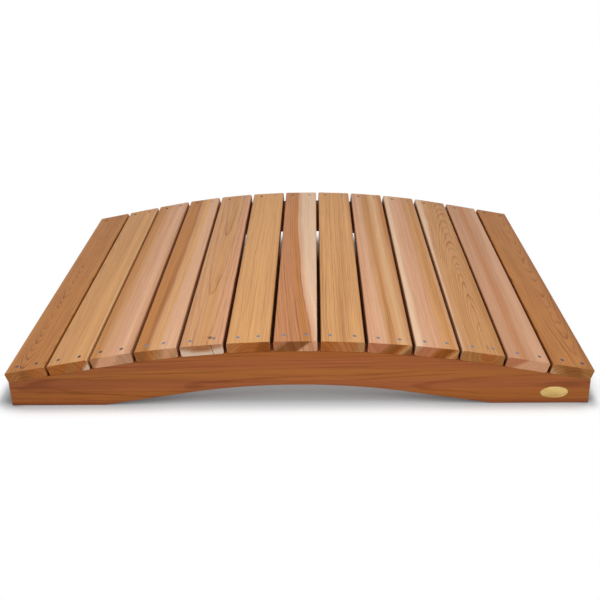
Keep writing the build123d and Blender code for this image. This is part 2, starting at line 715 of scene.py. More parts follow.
class Metal(Enum):
    """The metals of the screws and of the plate."""

    ZINC_DULL = MetalFinish(linear(150, 156, 170), linear(82, 78, 82), linear(40, 34, 32), 0.45, 16.0)
    ZINC_DARK = MetalFinish(linear(96, 100, 116), linear(52, 46, 48), linear(34, 28, 26), 0.5, 16.0)
    SATIN_BRASS = MetalFinish(linear(218, 186, 120), linear(200, 166, 102), linear(66, 42, 14), 0.42, 45.0)

    def material(self) -> bpy.types.Material:
        """Builds the metal under its own name."""
        return self.value.material(self.name.lower())


@dataclass(frozen=True)
class BeamOutline:
    """Side view of a beam, and the curve that the deck follows."""

    board_count: int
    board_width: float = BOARD_WIDTH * MM
    board_gap: float = 6.35 * MM
    crown_height: float = 139.7 * MM
    bearing_radius: float = 2159.0 * MM
    bearing_straight: float = 204.0 * MM
    foot_overrun: float = 7.9 * MM
    bearing_overrun: float = 1.2 * MM
    foot_length: float = 203.2 * MM
    ramp_run: float = 175.5 * MM
    ramp_rise: float = 31.4 * MM

    @property
    def board_pitch(self) -> float:
        """From the middle of one board to the next."""
        return self.board_width + self.board_gap

    @property
    def deck_reach(self) -> float:
        """Half the length of the deck along the curve."""
        return (self.board_count * self.board_pitch - self.board_gap) / 2

    @property
    def arc_reach(self) -> float:
        """Half the length of the arc on top."""
        return self.deck_reach - self.bearing_straight

    @property
    def slope(self) -> float:
        """Slope of the straight runs on top, in radians."""
        return self.arc_reach / self.bearing_radius

    @property
    def half_length(self) -> float:
        """Half the length of a beam on the ground."""
        return self.seat(self.deck_reach).translation.x + self.foot_overrun

    @property
    def toe(self) -> float:
        """Where the flat foot ends."""
        return self.half_length - self.foot_length

    @property
    def soffit_reach(self) -> float:
        """Half the width of the arc underneath."""
        return self.toe - self.ramp_run

    def seat(self, reach: float) -> Matrix:
        """Finds the frame that lies on top of the beams.

        Args:
            reach: Distance along the curve from the crown, with a sign.

        Returns:
            The frame, with X along the curve and Z off it.
        """
        on_arc = min(abs(reach), self.arc_reach)
        straight = abs(reach) - on_arc
        slope = on_arc / self.bearing_radius
        side = math.copysign(1.0, reach)
        x = side * (self.bearing_radius * math.sin(slope) + straight * math.cos(slope))
        z = self.crown_height - self.bearing_radius * (1 - math.cos(slope)) - straight * math.sin(slope)
        return Matrix.Translation((x, 0.0, z)) @ Matrix.Rotation(side * slope, 4, "Y")

    def top(self, x: float) -> float:
        """Follows the beam's top.

        Args:
            x: A place along the beam.

        Returns:
            The height there.
        """
        arc_end = self.seat(self.arc_reach).translation
        if abs(x) > arc_end.x:
            return arc_end.z - (abs(x) - arc_end.x) * math.tan(self.slope)
        return self.crown_height - self.bearing_radius + math.sqrt(self.bearing_radius**2 - x * x)

    def bottom(self, x: float) -> float:
        """Follows the beam's underside.

        Args:
            x: A place along the beam.

        Returns:
            The height there.
        """
        if abs(x) >= self.toe:
            return 0.0
        if abs(x) >= self.soffit_reach:
            return (self.toe - abs(x)) / self.ramp_run * self.ramp_rise
        slope = math.atan2(self.ramp_rise, self.ramp_run)
        radius = self.soffit_reach / math.sin(slope)
        return self.ramp_rise - radius * math.cos(slope) + math.sqrt(radius**2 - x * x)

    def column(self, x: float, rows: int) -> list[tuple[float, float]]:
        """Lists points up the beam's side, in a column that leans in over the foot.

        Args:
            x: Where the column stands on the underside.
            rows: How many steps it climbs.

        Returns:
            Places along the beam and heights, from the underside up.
        """
        over_foot = max(0.0, (abs(x) - self.toe) / self.foot_length)
        top_x = x - math.copysign(over_foot * (self.foot_overrun - self.bearing_overrun), x)
        low, high = Vector((x, self.bottom(x))), Vector((top_x, self.top(top_x)))
        return [tuple(low.lerp(high, row / rows)) for row in range(rows + 1)]

    def stations(self, step: float = 16.0 * MM) -> list[float]:
        """Lists the places along a beam where its outline is read.

        Args:
            step: The widest gap between two places.

        Returns:
            The places from one end to the other.
        """
        turns = (self.half_length, self.toe, self.soffit_reach)
        corners = sorted({side * at for side in (-1, 1) for at in turns})
        places: list[float] = []
        for start, end in zip(corners, corners[1:]):
            count = max(1, math.ceil((end - start) / step))
            places += [start + (end - start) * i / count for i in range(count)]
        return places + [corners[-1]]


def smooth(data: bpy.types.Mesh) -> None:
    """Shades a mesh smoothly, with its real corners kept sharp."""
    data.shade_smooth()
    data.set_sharp_from_angle(angle=CORNER_ANGLE)


def put(name: str, data: bpy.types.ID) -> bpy.types.Object:
    """Puts a new object into the scene.

    Args:
        name: The object's name.
        data: Its mesh, lamp or camera.

    Returns:
        The object.
    """
    thing = bpy.data.objects.new(name, data)
    bpy.context.scene.collection.objects.link(thing)
    return thing


def put_mesh(name: str, mesh: bmesh.types.BMesh) -> bpy.types.Object:
    """Puts a mesh into the scene as a new object.

    Args:
        name: The object's name.
        mesh: Its mesh, which is freed.

    Returns:
        The object.
    """
    data = bpy.data.meshes.new(name)
    mesh.to_mesh(data)
    mesh.free()
    return put(name, data)


def new_piece(name: str, mesh: bmesh.types.BMesh, place: Matrix, material: bpy.types.Material,
              slot: Finish) -> bpy.types.Object:
    """Turns a mesh into a piece of the bridge.

    Args:
        name: The piece's name.
        mesh: Its mesh, in its own frame, which is freed.
        place: Where its frame stands.
        material: Its material.
        slot: The record's slot for its finish; not used.

    Returns:
        The piece, riding on the bridge.
    """
    bmesh.ops.recalc_face_normals(mesh, faces=mesh.faces)
    piece = put_mesh(name, mesh)
    piece.data.materials.append(material)
    smooth(piece.data)
    piece.matrix_world = place
    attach(piece, BODY)
    LOG.info("%s: %d faces", name, len(piece.data.polygons))
    return piece


def cut(piece: bpy.types.Object, cutter: bmesh.types.BMesh) -> None:
    """Cuts a shape out of a piece and leaves plain mesh behind.

    Args:
        piece: The piece to cut.
        cutter: What is cut away, in the piece's own frame, which is freed.
    """
    tool = put_mesh("cutter", cutter)
    tool.matrix_world = piece.matrix_world
    modifier = piece.modifiers.new("cut", "BOOLEAN")
    modifier.object = tool
    modifier.solver = "EXACT"
    bpy.context.view_layer.update()
    done = bpy.data.meshes.new_from_object(piece.evaluated_get(bpy.context.evaluated_depsgraph_get()))
    piece.modifiers.clear()
    old, piece.data = piece.data, done
    name = old.name
    for spent in (old, tool.data):
        bpy.data.meshes.remove(spent)
    done.name = name
    smooth(done)


def skin(mesh: bmesh.types.BMesh, rings: list[list[bmesh.types.BMVert]]) -> None:
    """Closes a row of rings into a solid.

    Args:
        mesh: The mesh that holds the rings.
        rings: Rings of equally many vertices, from one end to the other.
    """
    for lower, upper in zip(rings, rings[1:]):
        for i in range(len(lower)):
            j = (i + 1) % len(lower)
            mesh.faces.new((lower[i], lower[j], upper[j], upper[i]))
    mesh.faces.new(list(reversed(rings[0])))
    mesh.faces.new(rings[-1])


def lathe(mesh: bmesh.types.BMesh, profile: list[tuple[float, float]], place: Matrix,
          sides: int = 32) -> None:
    """Turns a profile round Z into a closed solid.

    Args:
        mesh: The mesh that takes the solid.
        profile: Radius and height from the bottom to the top.
        place: Where the solid's frame stands.
        sides: How many sides the solid has.
    """
    turns = [2 * math.pi * i / sides for i in range(sides)]
    skin(mesh, [[mesh.verts.new(place @ Vector((radius * math.cos(turn), radius * math.sin(turn), height)))
                 for turn in turns] for radius, height in profile])


@dataclass(frozen=True)
class Screw:
    """Countersunk wood screw with a cross recess."""

    head_radius: float = 3.7 * MM
    rim_height: float = 0.35 * MM
    rim_ease: float = 0.2 * MM
    shank_radius: float = 1.5 * MM
    shank_stub: float = 0.3 * MM
    head_angle: float = math.radians(82)
    sunk: float = 0.2 * MM
    seat_clearance: float = 0.15 * MM
    seat_overcut: float = 0.5 * MM
    recess_length: float = 4.2 * MM
    recess_width: float = 1.1 * MM
    recess_depth: float = 1.6 * MM
    recess_taper: float = 0.5
    lean_error: float = math.radians(2.5)
    sink_error: float = 0.15 * MM

    @property
    def flare(self) -> float:
        """How fast the head widens with height."""
        return math.tan(self.head_angle / 2)

    def seat_cutter(self, mesh: bmesh.types.BMesh, place: Matrix) -> None:
        """Adds the cone that a head's seat is cut with.

        Args:
            mesh: The mesh that takes the cone.
            place: The point on the board's face above the screw.
        """
        wide = self.head_radius + self.seat_clearance + self.sunk * self.flare
        narrow = self.shank_radius + self.seat_clearance
        depth = (wide - narrow) / self.flare
        lathe(mesh, [(narrow, -depth - self.seat_overcut), (narrow, -depth), (wide, 0.0),
                     (wide, self.seat_overcut)], place)

    def recess(self) -> bmesh.types.BMesh:
        """Builds the cross that is cut into a head, narrower at the bottom.

        Returns:
            The mesh, with the middle of the head's top at its origin.
        """
        long, wide = self.recess_length / 2, self.recess_width / 2
        corners = [Matrix.Rotation(quarter * math.pi / 2, 2) @ Vector(corner)
                   for quarter in range(4) for corner in ((long, -wide), (long, wide), (wide, wide))]
        levels = [(1 + side * self.recess_taper, side * self.recess_depth) for side in (-1, 1)]
        mesh = bmesh.new()
        skin(mesh, [[mesh.verts.new((scale * x, scale * y, height)) for x, y in corners]
                    for scale, height in levels])
        bmesh.ops.recalc_face_normals(mesh, faces=mesh.faces)
        return mesh

    def head(self) -> bpy.types.Mesh:
        """Builds one screw from the top of its head to the start of its shank.

        Returns:
            The mesh, with the middle of the head's top at its origin.
        """
        neck = self.rim_height + (self.head_radius - self.shank_radius) / self.flare
        mesh = bmesh.new()
        lathe(mesh, [(self.shank_radius, -neck - self.shank_stub), (self.shank_radius, -neck),
                     (self.head_radius, -self.rim_height), (self.head_radius, -self.rim_ease),
                     (self.head_radius - self.rim_ease, 0.0)], Matrix.Identity(4))
        bmesh.ops.recalc_face_normals(mesh, faces=mesh.faces)
        blank = put_mesh("screw", mesh)
        cut(blank, self.recess())
        done = blank.data
        bpy.data.objects.remove(blank)
        return done

    def driven(self, chance: random.Random) -> Matrix:
        """Drives a screw in by hand, a little off true.

        Args:
            chance: Where the small errors come from.

        Returns:
            How the screw stands to the point on the board's face above it.
        """
        lean = Matrix.Rotation(chance.uniform(-self.lean_error, self.lean_error), 4, "X")
        sunk = Matrix.Translation((0.0, 0.0, -self.sunk - chance.uniform(0.0, self.sink_error)))
        turn = Matrix.Rotation(chance.uniform(0.0, math.pi / 2), 4, "Z")
        return sunk @ lean @ turn


@dataclass
class Board:
    """One board of the deck, with its four screws.

    Screws stand a distance across from the board's middle and a distance in from its end, both in
    millimetres.
    """

    number: int
    finish: CedarFinish
    near_screws: tuple[tuple[float, float], tuple[float, float]]
    metal: Metal = Metal.ZINC_DULL
    far_screw: tuple[float, float] = (22.2, 19.0)
    hand_error: tuple[float, float] = (3.0, 2.0)
    width: float = BOARD_WIDTH * MM
    thickness: float = BOARD_THICKNESS * MM
    length: float = BOARD_LENGTH * MM
    edge_radius: float = 4.0 * MM
    end_ease: float = 0.5 * MM
    corner_steps: int = 7
    stations: int = 24

    def screw_places(self, chance: random.Random) -> list[tuple[float, float]]:
        """Places the screws, the near pair as measured and the far pair within a hand's error.

        Args:
            chance: Where the far pair's small errors come from.

        Returns:
            Each screw's place across and along the board, in millimetres.
        """
        half = self.length / MM / 2
        places = [(across, inset - half) for across, inset in self.near_screws]
        (across, inset), (aside, along) = self.far_screw, self.hand_error
        for side in (-1, 1):
            places.append((side * across + chance.uniform(-aside, aside),
                           half - inset + chance.uniform(-along, along)))
        return places

    def section(self, ease: float) -> list[tuple[float, float]]:
        """Draws the board's section.

        Args:
            ease: How far the section is drawn in.

        Returns:
            Points across and up, from the bottom right corner round.
        """
        radius = self.edge_radius - ease
        half, top = self.width / 2 - self.edge_radius, self.thickness - self.edge_radius
        corners = ((half, self.edge_radius), (half, top), (-half, top), (-half, self.edge_radius))
        points = []
        for (x, z), start in zip(corners, (-90, 0, 90, 180)):
            for i in range(self.corner_steps + 1):
                angle = math.radians(start + 90 * i / self.corner_steps)
                points.append((x + radius * math.cos(angle), z + radius * math.sin(angle)))
        return points

    def mesh(self) -> bmesh.types.BMesh:
        """Builds the board with rounded long edges and eased ends.

        Returns:
            The mesh, with X across the board and Y along it.
        """
        mesh = bmesh.new()
        half, inner = self.length / 2, self.length / 2 - self.end_ease
        places = [(-inner + 2 * inner * i / self.stations, 0.0) for i in range(self.stations + 1)]
        places = [(-half, self.end_ease), *places, (half, self.end_ease)]
        skin(mesh, [[mesh.verts.new((x, along, z)) for x, z in self.section(ease)] for along, ease in places])
        return mesh

    def build(self, seat: Matrix, screw: Screw, head: bpy.types.Mesh, zinc: bpy.types.Material,
              chance: random.Random) -> None:
        """Builds the board and its screws.

        Args:
            seat: The frame on top of the beams under the middle of the board.
            screw: The kind of screw.
            head: The mesh of one screw.
            zinc: The screws' material.
            chance: Where small differences come from.
        """
        places = self.screw_places(chance)
        finish = replace(self.finish, screws=tuple(places), seed=float(self.number))
        name = f"board_{self.number:02d}"
        board = new_piece(name, self.mesh(), seat, finish.material(f"cedar_{name}"), Finish.BOARD)
        cutter, screws = bmesh.new(), bmesh.new()
        for across, along in places:
            spot = Matrix.Translation((across * MM, along * MM, self.thickness))
            screw.seat_cutter(cutter, spot)
            before = len(screws.verts)
            screws.from_mesh(head)
            screws.verts.ensure_lookup_table()
            bmesh.ops.transform(screws, verts=screws.verts[before:], matrix=spot @ screw.driven(chance))
        cut(board, cutter)
        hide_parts(f"slat_{self.number:02d}")
        new_piece(f"{name}_screws", screws, seat, zinc, Finish.SCREW)


@dataclass
class Beam:
    """One arched beam, sawn from a plank that stands on edge."""

    name: str
    node: str
    outward: float
    finish: CedarFinish
    outline: BeamOutline
    thickness: float = BEAM_THICKNESS * MM
    outer_face: float = BOARD_LENGTH / 2 * MM
    edge_ease: float = 1.6 * MM
    middle_height: float = 70.0 * MM
    rows: int = 6

    def frame(self) -> Matrix:
        """Turns the plank so that its grain runs along the span and its face looks outward.

        Returns:
            The plank's own frame, with Y along the grain and Z out of the outer face.
        """
        turned = Matrix(((0.0, 1.0, 0.0), (0.0, 0.0, self.outward), (self.outward, 0.0, 0.0))).to_4x4()
        inner_face = self.outward * (self.outer_face - self.thickness)
        return Matrix.Translation((0.0, inner_face, self.middle_height)) @ turned

    def mesh(self) -> bmesh.types.BMesh:
        """Builds the beam in the bridge's frame, with eased edges where a hand meets them.

        Returns:
            The mesh.
        """
        mesh = bmesh.new()
        columns = [self.outline.column(x, self.rows) for x in self.outline.stations()]
        inner, outer = (
            [[mesh.verts.new((x, self.outward * y, z)) for x, z in column] for column in columns]
            for y in (self.outer_face - self.thickness, self.outer_face))
        for side in (inner, outer):
            for left, right in zip(side, side[1:]):
                for i in range(self.rows):
                    mesh.faces.new((left[i], right[i], right[i + 1], left[i + 1]))
        for i in range(len(inner) - 1):
            for row in (0, self.rows):
                mesh.faces.new((inner[i][row], inner[i + 1][row], outer[i + 1][row], outer[i][row]))
        for at in (0, -1):
            for i in range(self.rows):
                mesh.faces.new((inner[at][i], inner[at][i + 1], outer[at][i + 1], outer[at][i]))
        bmesh.ops.recalc_face_normals(mesh, faces=mesh.faces)
        eased = [edge for edge in mesh.edges if self.is_eased(edge)]
        bmesh.ops.bevel(mesh, geom=eased, offset=self.edge_ease, segments=3, profile=0.5, affect="EDGES",
                        clamp_overlap=True)
        return mesh

    @staticmethod
    def is_eased(edge: bmesh.types.BMEdge) -> bool:
        """Tells whether an edge is one that a hand meets, and not one under the boards.

        Args:
            edge: An edge of the square mesh.

        Returns:
            Whether the edge is eased.
        """
        first, second = (face.normal for face in edge.link_faces)
        is_corner = first.dot(second) <= 0.5
        rim = first if abs(second.y) > 0.9 else second
        bounds_a_side = abs(first.y) + abs(second.y) > 0.9
        faces_up = rim.z >= 0.5
        return is_corner and bounds_a_side and not faces_up

    def build(self) -> bpy.types.Object:
        """Builds the beam and puts it in place of its solid.

        Returns:
            The beam.
        """
        place = self.frame()
        mesh = self.mesh()
        mesh.transform(place.inverted())
        beam = new_piece(self.name, mesh, place, self.finish.material(f"cedar_{self.name}"), Finish.BEAM)
        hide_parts(self.node)
        return beam


@dataclass(frozen=True)
class OvalPlate:
    """Small bare oval plate, let into the outer face of the front beam."""

    across: float = 541.0 * MM
    height: float = 28.8 * MM
    long_radius: float = 29.4 * MM
    short_radius: float = 15.0 * MM
    thickness: float = 1.0 * MM
    clearance: float = 0.45 * MM
    bead_width: float = 1.2 * MM
    groove_width: float = 1.5 * MM
    groove_depth: float = 0.6 * MM
    groove_slope: float = 0.4 * MM
    bevel: float = 0.3 * MM
    set_back: float = 0.02 * MM
    dome: tuple[tuple[float, float], ...] = ((5.0 * MM, 0.15 * MM), (9.0 * MM, 0.075 * MM))
    dome_edge: float = 0.25 * MM
    sides: int = 96

    def solid(self, levels: list[tuple[float, float]]) -> bmesh.types.BMesh:
        """Builds a closed oval solid from its rings.

        Args:
            levels: How far each ring lies outside the edge and stands out, from the back to the front.

        Returns:
            The mesh.
        """
        mesh = bmesh.new()
        turns = [2 * math.pi * i / self.sides for i in range(self.sides)]
        skin(mesh, [[mesh.verts.new(((self.long_radius + grow) * math.cos(turn),
                                     (self.short_radius + grow) * math.sin(turn), out)) for turn in turns]
                    for grow, out in levels])
        return mesh

    def levels(self) -> list[tuple[float, float]]:
        """Draws the plate's half section: a bead round the edge, a groove and a flat dome.

        Returns:
            How far each ring lies outside the edge and stands out, from the back to the front.
        """
        bead, groove = -self.bead_width, -self.bead_width - self.groove_width
        return [(0.0, -self.thickness), (0.0, -self.bevel), (-self.bevel, -self.set_back),
                (bead + self.bevel, -self.set_back), (bead, -self.groove_depth), (groove, -self.groove_depth),
                (groove - self.groove_slope, -self.dome_edge),
                *((-inset, -sunk) for inset, sunk in self.dome)]

    def build(self, beam: Beam, wood: bpy.types.Object, brass: bpy.types.Material) -> None:
        """Cuts the plate's seat and builds the plate in it.

        Args:
            beam: The beam that carries it.
            wood: The beam's piece.
            brass: The plate's material.
        """
        upright = Matrix.Rotation(math.pi / 2, 4, "X")
        face = Matrix.Translation((self.across, beam.outward * beam.outer_face, self.height)) @ upright
        seat = self.solid([(self.clearance, -self.thickness), (self.clearance, self.thickness)])
        seat.transform(wood.matrix_world.inverted() @ face)
        bmesh.ops.recalc_face_normals(seat, faces=seat.faces)
        cut(wood, seat)
        new_piece("oval_plate", self.solid(self.levels()), face, brass, Finish.PLATE)


@dataclass
class Deck:
    """The thirteen boards, laid side by side along the curve of the beams."""

    outline: BeamOutline
    boards: tuple[Board, ...]

    def build(self) -> None:
        """Builds every board with its screws."""
        screw = Screw()
        zinc = {metal: metal.material() for metal in (Metal.ZINC_DULL, Metal.ZINC_DARK)}
        head = screw.head()
        middle = (len(self.boards) + 1) / 2
        for board in self.boards:
            seat = self.outline.seat((board.number - middle) * self.outline.board_pitch)
            board.build(seat, screw, head, zinc[board.metal], random.Random(FIRST_SEED + board.number))
        bpy.data.meshes.remove(head)


@dataclass(frozen=True)
class FloorFinish:
    """White floor, with a shadow painted under the bridge and close round it, over the real shadow that the
    lamps cast.

    Distances are in metres, out from the edges of the bridge's footprint and below nought inside
    them, and those of the middle are places across the bridge. Each range tells where a part of
    the shadow starts and ends, and then how strong it is at the two.

    Attributes:
        rim: How much of the floor's light the painted shadow leaves at distances from the footprint's edge.
        contact: How much the painted contact shadow leaves where the floor is less or more open.
        tint: Colour of warm light painted on the floor under the deck, as if it came back from the boards'
            undersides.
        cool: The floor's own white, which evens out the warm light off the cedar.
        glow: How much of the floor's white near the bridge glows by itself, darkened by the painted shadow,
            without the lamps.
    """

    half_length: float = 617.0 * MM
    half_width: float = BOARD_LENGTH / 2 * MM
    rim_reach: float = 0.1
    rim: tuple[tuple[float, float], ...] = (
        (-0.07, 0.88), (-0.056, 0.82), (-0.04, 0.68), (-0.028, 0.55), (-0.016, 0.47), (0.0, 0.57),
        (0.015, 0.75), (0.028, 0.9), (0.056, 1.0))
    contact_reach: float = 0.05
    contact: Range = (0.45, 1.0, 0.40, 1.0)
    left_end: tuple[Range, Range] = ((-0.03, -0.004), (0.028, 0.056, 0.66, 0.0))
    right_end: tuple[Range, Range] = ((-0.03, 0.004), (0.004, 0.03, 0.55, 0.0))
    foot: tuple[Range, Range] = ((-0.12, -0.055), (-0.02, 0.02, 1.0, 0.0))
    middle: tuple[Range, Range] = ((-0.33, -0.20), (0.24, 0.45, 1.0, 0.0))
    middle_length: Range = (-0.10, -0.02, 1.0, 0.0)
    middle_depth: float = 0.96
    under_end: tuple[Range, Range] = ((-0.20, -0.12), (-0.07, 0.015, 0.8, 0.0))
    under_end_width: Range = (-0.06, -0.03, 1.0, 0.0)
    under_end_tint: float = 0.5
    tint: Colour = (1.0, 0.45, 0.25, 1.0)
    cool: tuple[float, float, float] = (0.965, 0.985, 1.0)
    plain: Range = (0.01, 0.075)
    glow: float = 0.25
    bounce: Colour = (0.4, 0.4, 0.4, 1.0)

    @staticmethod
    def patch(recipe: Recipe, *limits: tuple[Socket, Range]) -> Socket:
        """Holds a part of the shadow inside soft limits, each a distance and its range."""
        return recipe.times(*(recipe.span(distance, *limit) for distance, limit in limits))

    def material(self, name: str) -> bpy.types.Material:
        """Builds the floor's white.

        Args:
            name: The material's name.

        Returns:
            The material.
        """
        recipe = Recipe(bpy.data.materials.new(name))
        place = recipe.step("ShaderNodeTexCoord").outputs["Object"]
        x, y, _ = recipe.split(place)
        footprint = (self.half_length, self.half_width, 0.0)
        beyond = recipe.vector("SUBTRACT", recipe.vector("ABSOLUTE", place), footprint)
        beyond_x, beyond_y, _ = recipe.split(beyond)
        outside = recipe.length(recipe.vector("MAXIMUM", beyond))
        inside = recipe.math("MINIMUM", recipe.math("MAXIMUM", beyond_x, beyond_y), 0.0)
        edge = recipe.add(recipe.times(recipe.add(outside, inside), 0.5 / self.rim_reach), 0.5)

        # Painted shadow: a soft edge round the footprint, and a darker contact shadow at the feet
        around = recipe.curve(edge, *((0.5 + 0.5 * at / self.rim_reach, light) for at, light in self.rim))
        contact = recipe.span(recipe.openness(self.contact_reach, 12), *self.contact)
        shade = recipe.math("MINIMUM", around, contact)
        foot = self.patch(recipe, *((beyond_y, limit) for limit in self.foot))
        for side, end in ((-1.0, self.left_end), (1.0, self.right_end)):
            past = recipe.less(recipe.times(x, side), self.half_length)
            at_end = self.patch(recipe, *((past, limit) for limit in end))
            shade = recipe.times(shade, recipe.less(1.0, recipe.times(at_end, foot)))

        # Painted shadow under the deck, in the middle and inside each end, where hardly any light reaches the
        # ground, tinted with painted warm light
        middle = self.patch(recipe, *((y, limit) for limit in self.middle), (beyond_x, self.middle_length))
        under_end = self.patch(recipe, *((beyond_x, limit) for limit in self.under_end),
                               (beyond_y, self.under_end_width))
        shade = recipe.times(shade, recipe.less(1.0, recipe.times(middle, self.middle_depth)),
                             recipe.less(1.0, under_end))
        warm = recipe.math("MAXIMUM", middle, recipe.times(under_end, self.under_end_tint))
        tint = recipe.mix(warm, WHITE, self.tint)

        # Near the bridge the lamps light the floor and a painted glow carries the painted shadow; further out
        # it is plain white
        fade = recipe.span(outside, *self.plain)
        lit = recipe.scaled(recipe.vector("MULTIPLY", tint, self.cool), shade)
        lit = recipe.step("ShaderNodeBsdfDiffuse", {"Color": recipe.mix(fade, lit, BLACK)})
        glow = recipe.add(recipe.times(shade, recipe.less(1.0, fade), self.glow), fade)
        white = recipe.step("ShaderNodeEmission", {"Color": tint, "Strength": glow})
        shown = recipe.step("ShaderNodeAddShader", {0: lit.outputs[0], 1: white.outputs[0]})
        # Camera and gloss rays see the painted floor; light bouncing off it sees a plain grey
        bounce = recipe.step("ShaderNodeBsdfDiffuse", {"Color": self.bounce})
        either = recipe.step("ShaderNodeMixShader", {
            0: recipe.seen_directly(), 1: bounce.outputs[0], 2: shown.outputs[0]})
        return recipe.finish(either.outputs[0])


@dataclass
class Studio:
    """Camera, soft light and white floor."""

    eye: tuple[float, float, float] = (0.04464, -1.48012, 0.94888)
    turn: float = -0.0300
    tilt_down: float = 0.5577
    roll: float = -0.0250
    focal_pixels: float = 669.27
    image_pixels: float = 600.0
    sensor: float = 36.0
    sky: float = 0.5
    softbox_watts: float = 17.0
    softbox_place: tuple[float, float, float] = (0.0, -0.95, 1.6)
    softbox_aim: tuple[float, float, float] = (0.0, 0.0, 0.1)
    softbox_size: tuple[float, float] = (1.5, 1.0)
    floor_size: float = 40.0
    floor_drop: float = 0.2 * MM

    def camera(self) -> None:
        """Sets the camera where the photograph was taken."""
        forward = Vector((math.sin(self.turn) * math.cos(self.tilt_down),
                          math.cos(self.turn) * math.cos(self.tilt_down), -math.sin(self.tilt_down)))
        level = Vector((math.cos(self.turn), -math.sin(self.turn), 0.0))
        upright = level.cross(forward)
        right = level * math.cos(self.roll) + upright * math.sin(self.roll)
        up = upright * math.cos(self.roll) - level * math.sin(self.roll)
        data = bpy.data.cameras.new("camera")
        data.sensor_width = self.sensor
        data.lens = self.focal_pixels / self.image_pixels * self.sensor
        camera = put("camera", data)
        turned = Matrix((right, up, -forward)).transposed().to_4x4()
        camera.matrix_world = Matrix.Translation(self.eye) @ turned
        bpy.context.scene.camera = camera

    def lights(self) -> None:
        """Sets a pale sky all round and one large softbox above."""
        scene = bpy.context.scene
        scene.view_settings.view_transform = "Standard"
        scene.world = bpy.data.worlds.new("studio")
        recipe = Recipe(scene.world)
        strength = recipe.step("ShaderNodeMapRange", {
            "Value": recipe.seen_directly(), "To Min": self.sky, "To Max": 1.0})
        sky = recipe.step("ShaderNodeBackground", {"Color": WHITE, "Strength": strength.outputs[0]})
        recipe.step("ShaderNodeOutputWorld", {"Surface": sky.outputs[0]})
        lamp = bpy.data.lights.new("softbox", "AREA")
        lamp.shape = "RECTANGLE"
        lamp.size, lamp.size_y = self.softbox_size
        lamp.energy = self.softbox_watts
        softbox = put("softbox", lamp)
        softbox.location = self.softbox_place
        aim = Vector(self.softbox_aim) - Vector(self.softbox_place)
        softbox.rotation_euler = aim.to_track_quat("-Z", "Y").to_euler()

    def floor(self) -> None:
        """Lays a white floor that keeps the bridge's real soft shadow and a painted one, and is plain white
        all around it.
        """
        mesh = bmesh.new()
        bmesh.ops.create_grid(mesh, x_segments=8, y_segments=8, size=self.floor_size / 2)
        floor = put_mesh("floor", mesh)
        floor.location.z = -self.floor_drop
        floor.data.materials.append(FloorFinish().material("white_floor"))


